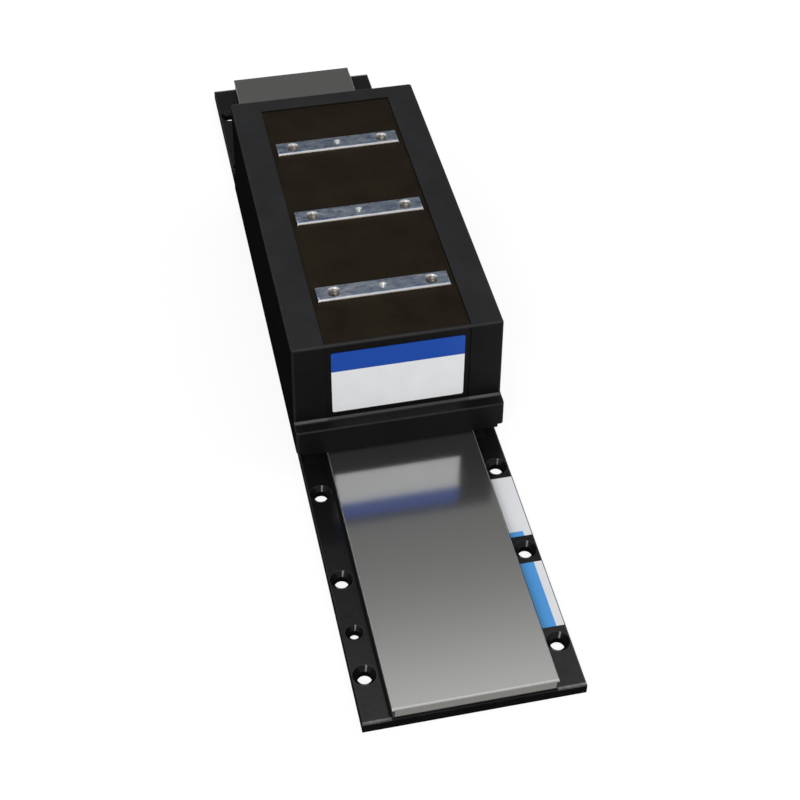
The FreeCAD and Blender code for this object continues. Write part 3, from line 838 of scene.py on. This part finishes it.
# %% Plugs for the tapped holes and the centre mark
THREAD_PITCH = 0.8 * MM
THREAD_DEPTH = 0.42 * MM
TAP_RADIUS = 2.1 * MM
MOUTH_RADIUS = 2.9 * MM
HOLE_INSET = 7.25 * MM
MARK_RADIUS = 1.7 * MM
MARK_TIP = 0.02 * MM
PLUG_SIDES = 36
RINGS_PER_TURN = 6
PLUG_OVERLAP = 0.4 * MM


def add_plug(bm, x, y, top, drops, radius_at):
    """Add a closed plug to bm: a ring for each drop below top, with its radius from radius_at."""
    rings = []
    for drop in drops:
        ring = []
        for side in range(PLUG_SIDES):
            turn = side / PLUG_SIDES
            radius = radius_at(drop, turn)
            angle = math.tau * turn
            ring.append(bm.verts.new((x + radius * math.cos(angle), y + radius * math.sin(angle),
                                      top - drop)))
        rings.append(ring)
    for upper, lower in zip(rings, rings[1:]):
        for side in range(PLUG_SIDES):
            after = (side + 1) % PLUG_SIDES
            bm.faces.new((upper[side], lower[side], lower[after], upper[after]))
    bm.faces.new(rings[0])
    bm.faces.new(reversed(rings[-1]))


def thread_radius(drop, turn):
    """The radius of a tapped hole with a wider mouth."""
    wave = (drop / THREAD_PITCH + turn) % 1.0
    groove = 1 - abs(2 * wave - 1)
    return max(TAP_RADIUS + THREAD_DEPTH * groove, MOUTH_RADIUS - drop)


def mark_radius(drop, turn):
    """The radius of the drill-point mark."""
    return max(MARK_RADIUS - drop, MARK_TIP)


def hole_places(low, high):
    """The places of a bar's two tapped holes."""
    middle = (low.y + high.y) / 2
    return [(low.x + HOLE_INSET, middle), (high.x - HOLE_INSET, middle)]


def bar_plugs(low, high):
    """All the plugs of one bar in one mesh."""
    plugs = bmesh.new()
    depth = high.z - low.z + PLUG_OVERLAP
    count = round((depth + PLUG_OVERLAP) / THREAD_PITCH * RINGS_PER_TURN)
    drops = [-PLUG_OVERLAP + (depth + PLUG_OVERLAP) * k / count for k in range(count + 1)]
    for x, y in hole_places(low, high):
        add_plug(plugs, x, y, high.z, drops, thread_radius)
    x, y = (low.x + high.x) / 2, (low.y + high.y) / 2
    add_plug(plugs, x, y, high.z, [-PLUG_OVERLAP, MARK_RADIUS], mark_radius)
    bmesh.ops.recalc_face_normals(plugs, faces=plugs.faces)
    return plugs


print("thread pitch in mm:", THREAD_PITCH / MM)

# %% [markdown]
# A new piece takes the place of a plain solid and moves with its body, so the same three calls
# follow for each. The large faces are shaded flat, because smooth shading would bend the light
# across them from the rounded edges.

# %% Piece helpers
SMOOTH_ANGLE = math.radians(35)
FLAT_AREA = 60 * MM * MM


def mesh_object(name, bm):
    """Turn a bmesh into an object of the scene."""
    mesh = bpy.data.meshes.new(name)
    bm.to_mesh(mesh)
    bm.free()
    obj = bpy.data.objects.new(name, mesh)
    bpy.context.scene.collection.objects.link(obj)
    return obj


def add_piece(piece, materials, node):
    """Shade a new piece, and let it ride on the coil unit in place of a node. Large faces stay flat."""
    mesh = piece.data
    mesh.shade_smooth()
    mesh.set_sharp_from_angle(angle=SMOOTH_ANGLE)
    for face in mesh.polygons:
        if face.area > FLAT_AREA:
            face.use_smooth = False
    mesh.materials.clear()
    for material in materials:
        mesh.materials.append(material)
    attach(piece, "coil_unit")
    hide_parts(node)
    print(piece.name, "has", len(mesh.polygons), "faces")


print("faces over", round(FLAT_AREA / MM / MM), "square mm stay flat")

# %% [markdown]
# Now each blank is cut by its plugs with a boolean modifier, whose result is kept as the mesh. A
# tapped hole shows no plating, so its wall gets the bare steel finish, whose darker colour is also
# painted shade inside the hole.

# %% Cut the bars
def bare_shaded_bores(mesh, low, high):
    """Give the walls of the tapped holes, below their mouths, the second material of the bar."""
    holes = [Vector(place) for place in hole_places(low, high)]
    mouth = high.z - (MOUTH_RADIUS - TAP_RADIUS)
    for face in mesh.polygons:
        away = min((face.center.xy - hole).length for hole in holes)
        if away < MOUTH_RADIUS and face.center.z < mouth:
            face.material_index = 1


for place_name in ("front", "middle", "rear"):
    node = "mounting_bar_" + place_name
    low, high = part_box(node)
    bar = mesh_object("plated_bar_" + place_name, bar_blank(low, high))
    plugs = mesh_object("bar_plugs", bar_plugs(low, high))
    cut = bar.modifiers.new("cut", "BOOLEAN")
    cut.operation = "DIFFERENCE"
    cut.solver = "EXACT"
    cut.object = plugs
    cut_mesh = bpy.data.meshes.new_from_object(bar.evaluated_get(bpy.context.evaluated_depsgraph_get()))
    bar.modifiers.clear()
    bar.data = cut_mesh
    bpy.data.objects.remove(plugs)
    add_piece(bar, [bar_zinc, shaded_bore_steel], node)
    bare_shaded_bores(cut_mesh, low, high)

# %% [markdown]
# ## Lead glands
# The leads leave through two rubber bushes in the rear wall. Such a bush tapers and has ribs round
# it, so that it bends evenly with the lead. Each is a closed outline, spun round the lead's axis,
# inside the plain sleeve of the solids. No leads are fitted, so the bushes are open.

# %% Ribbed bushes
GLAND_SPACING = 32.0 * MM
GLAND_WALL = 2.6 * MM
GLAND_COLLAR = 2.2 * MM
GLAND_TAPER = 1.1 * MM
RIB_COUNT = 4
RIB_DEPTH = 0.7 * MM
RIB_PROFILE = ((0.1, 1), (0.4, 1), (0.5, 0), (0.9, 0))
TIP_ROUNDING = 0.3 * RIB_DEPTH
LEAD_RADII = {-GLAND_SPACING / 2: 3.3 * MM, GLAND_SPACING / 2: 2.3 * MM}
GLAND_SIDES = 40


def bush_outline(lead_radius, length):
    """The closed outline of a bush, as pairs of radius and distance from the wall."""
    outer = lead_radius + GLAND_WALL
    points = [(lead_radius, 0.0), (outer, 0.0), (outer, GLAND_COLLAR)]
    step = (length - GLAND_COLLAR) / RIB_COUNT
    for rib in range(RIB_COUNT):
        start = GLAND_COLLAR + rib * step
        crown = outer - GLAND_TAPER * (rib + 1) / RIB_COUNT
        points += [(crown - sunk * RIB_DEPTH, start + share * step) for share, sunk in RIB_PROFILE]
    return points + [(crown - TIP_ROUNDING, length), (lead_radius, length)]


low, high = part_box("lead_glands")
axis_height = (low.z + high.z) / 2
bushes = bmesh.new()
for x, lead_radius in LEAD_RADII.items():
    outline = bush_outline(lead_radius, high.y - low.y)
    rings = []
    for radius, along in outline:
        ring = []
        for side in range(GLAND_SIDES):
            angle = math.tau * side / GLAND_SIDES
            ring.append(bushes.verts.new((x + radius * math.cos(angle), low.y + along,
                                          axis_height + radius * math.sin(angle))))
        rings.append(ring)
    for inner, outer in zip(rings, rings[1:] + rings[:1]):
        for side in range(GLAND_SIDES):
            after = (side + 1) % GLAND_SIDES
            bushes.faces.new((inner[side], inner[after], outer[after], outer[side]))
bmesh.ops.recalc_face_normals(bushes, faces=bushes.faces)
add_piece(mesh_object("ribbed_bushes", bushes), [gland_rubber], "lead_glands")

# %% [markdown]
# ## Finish
# The picture's colours are shown as they are, and the box of what is drawn is printed.

# %% View, size and finish
bpy.context.scene.view_settings.view_transform = "Standard"
low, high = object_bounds()
print("visual box in mm:", [round((b - a) / MM, 1) for a, b in zip(low, high)])
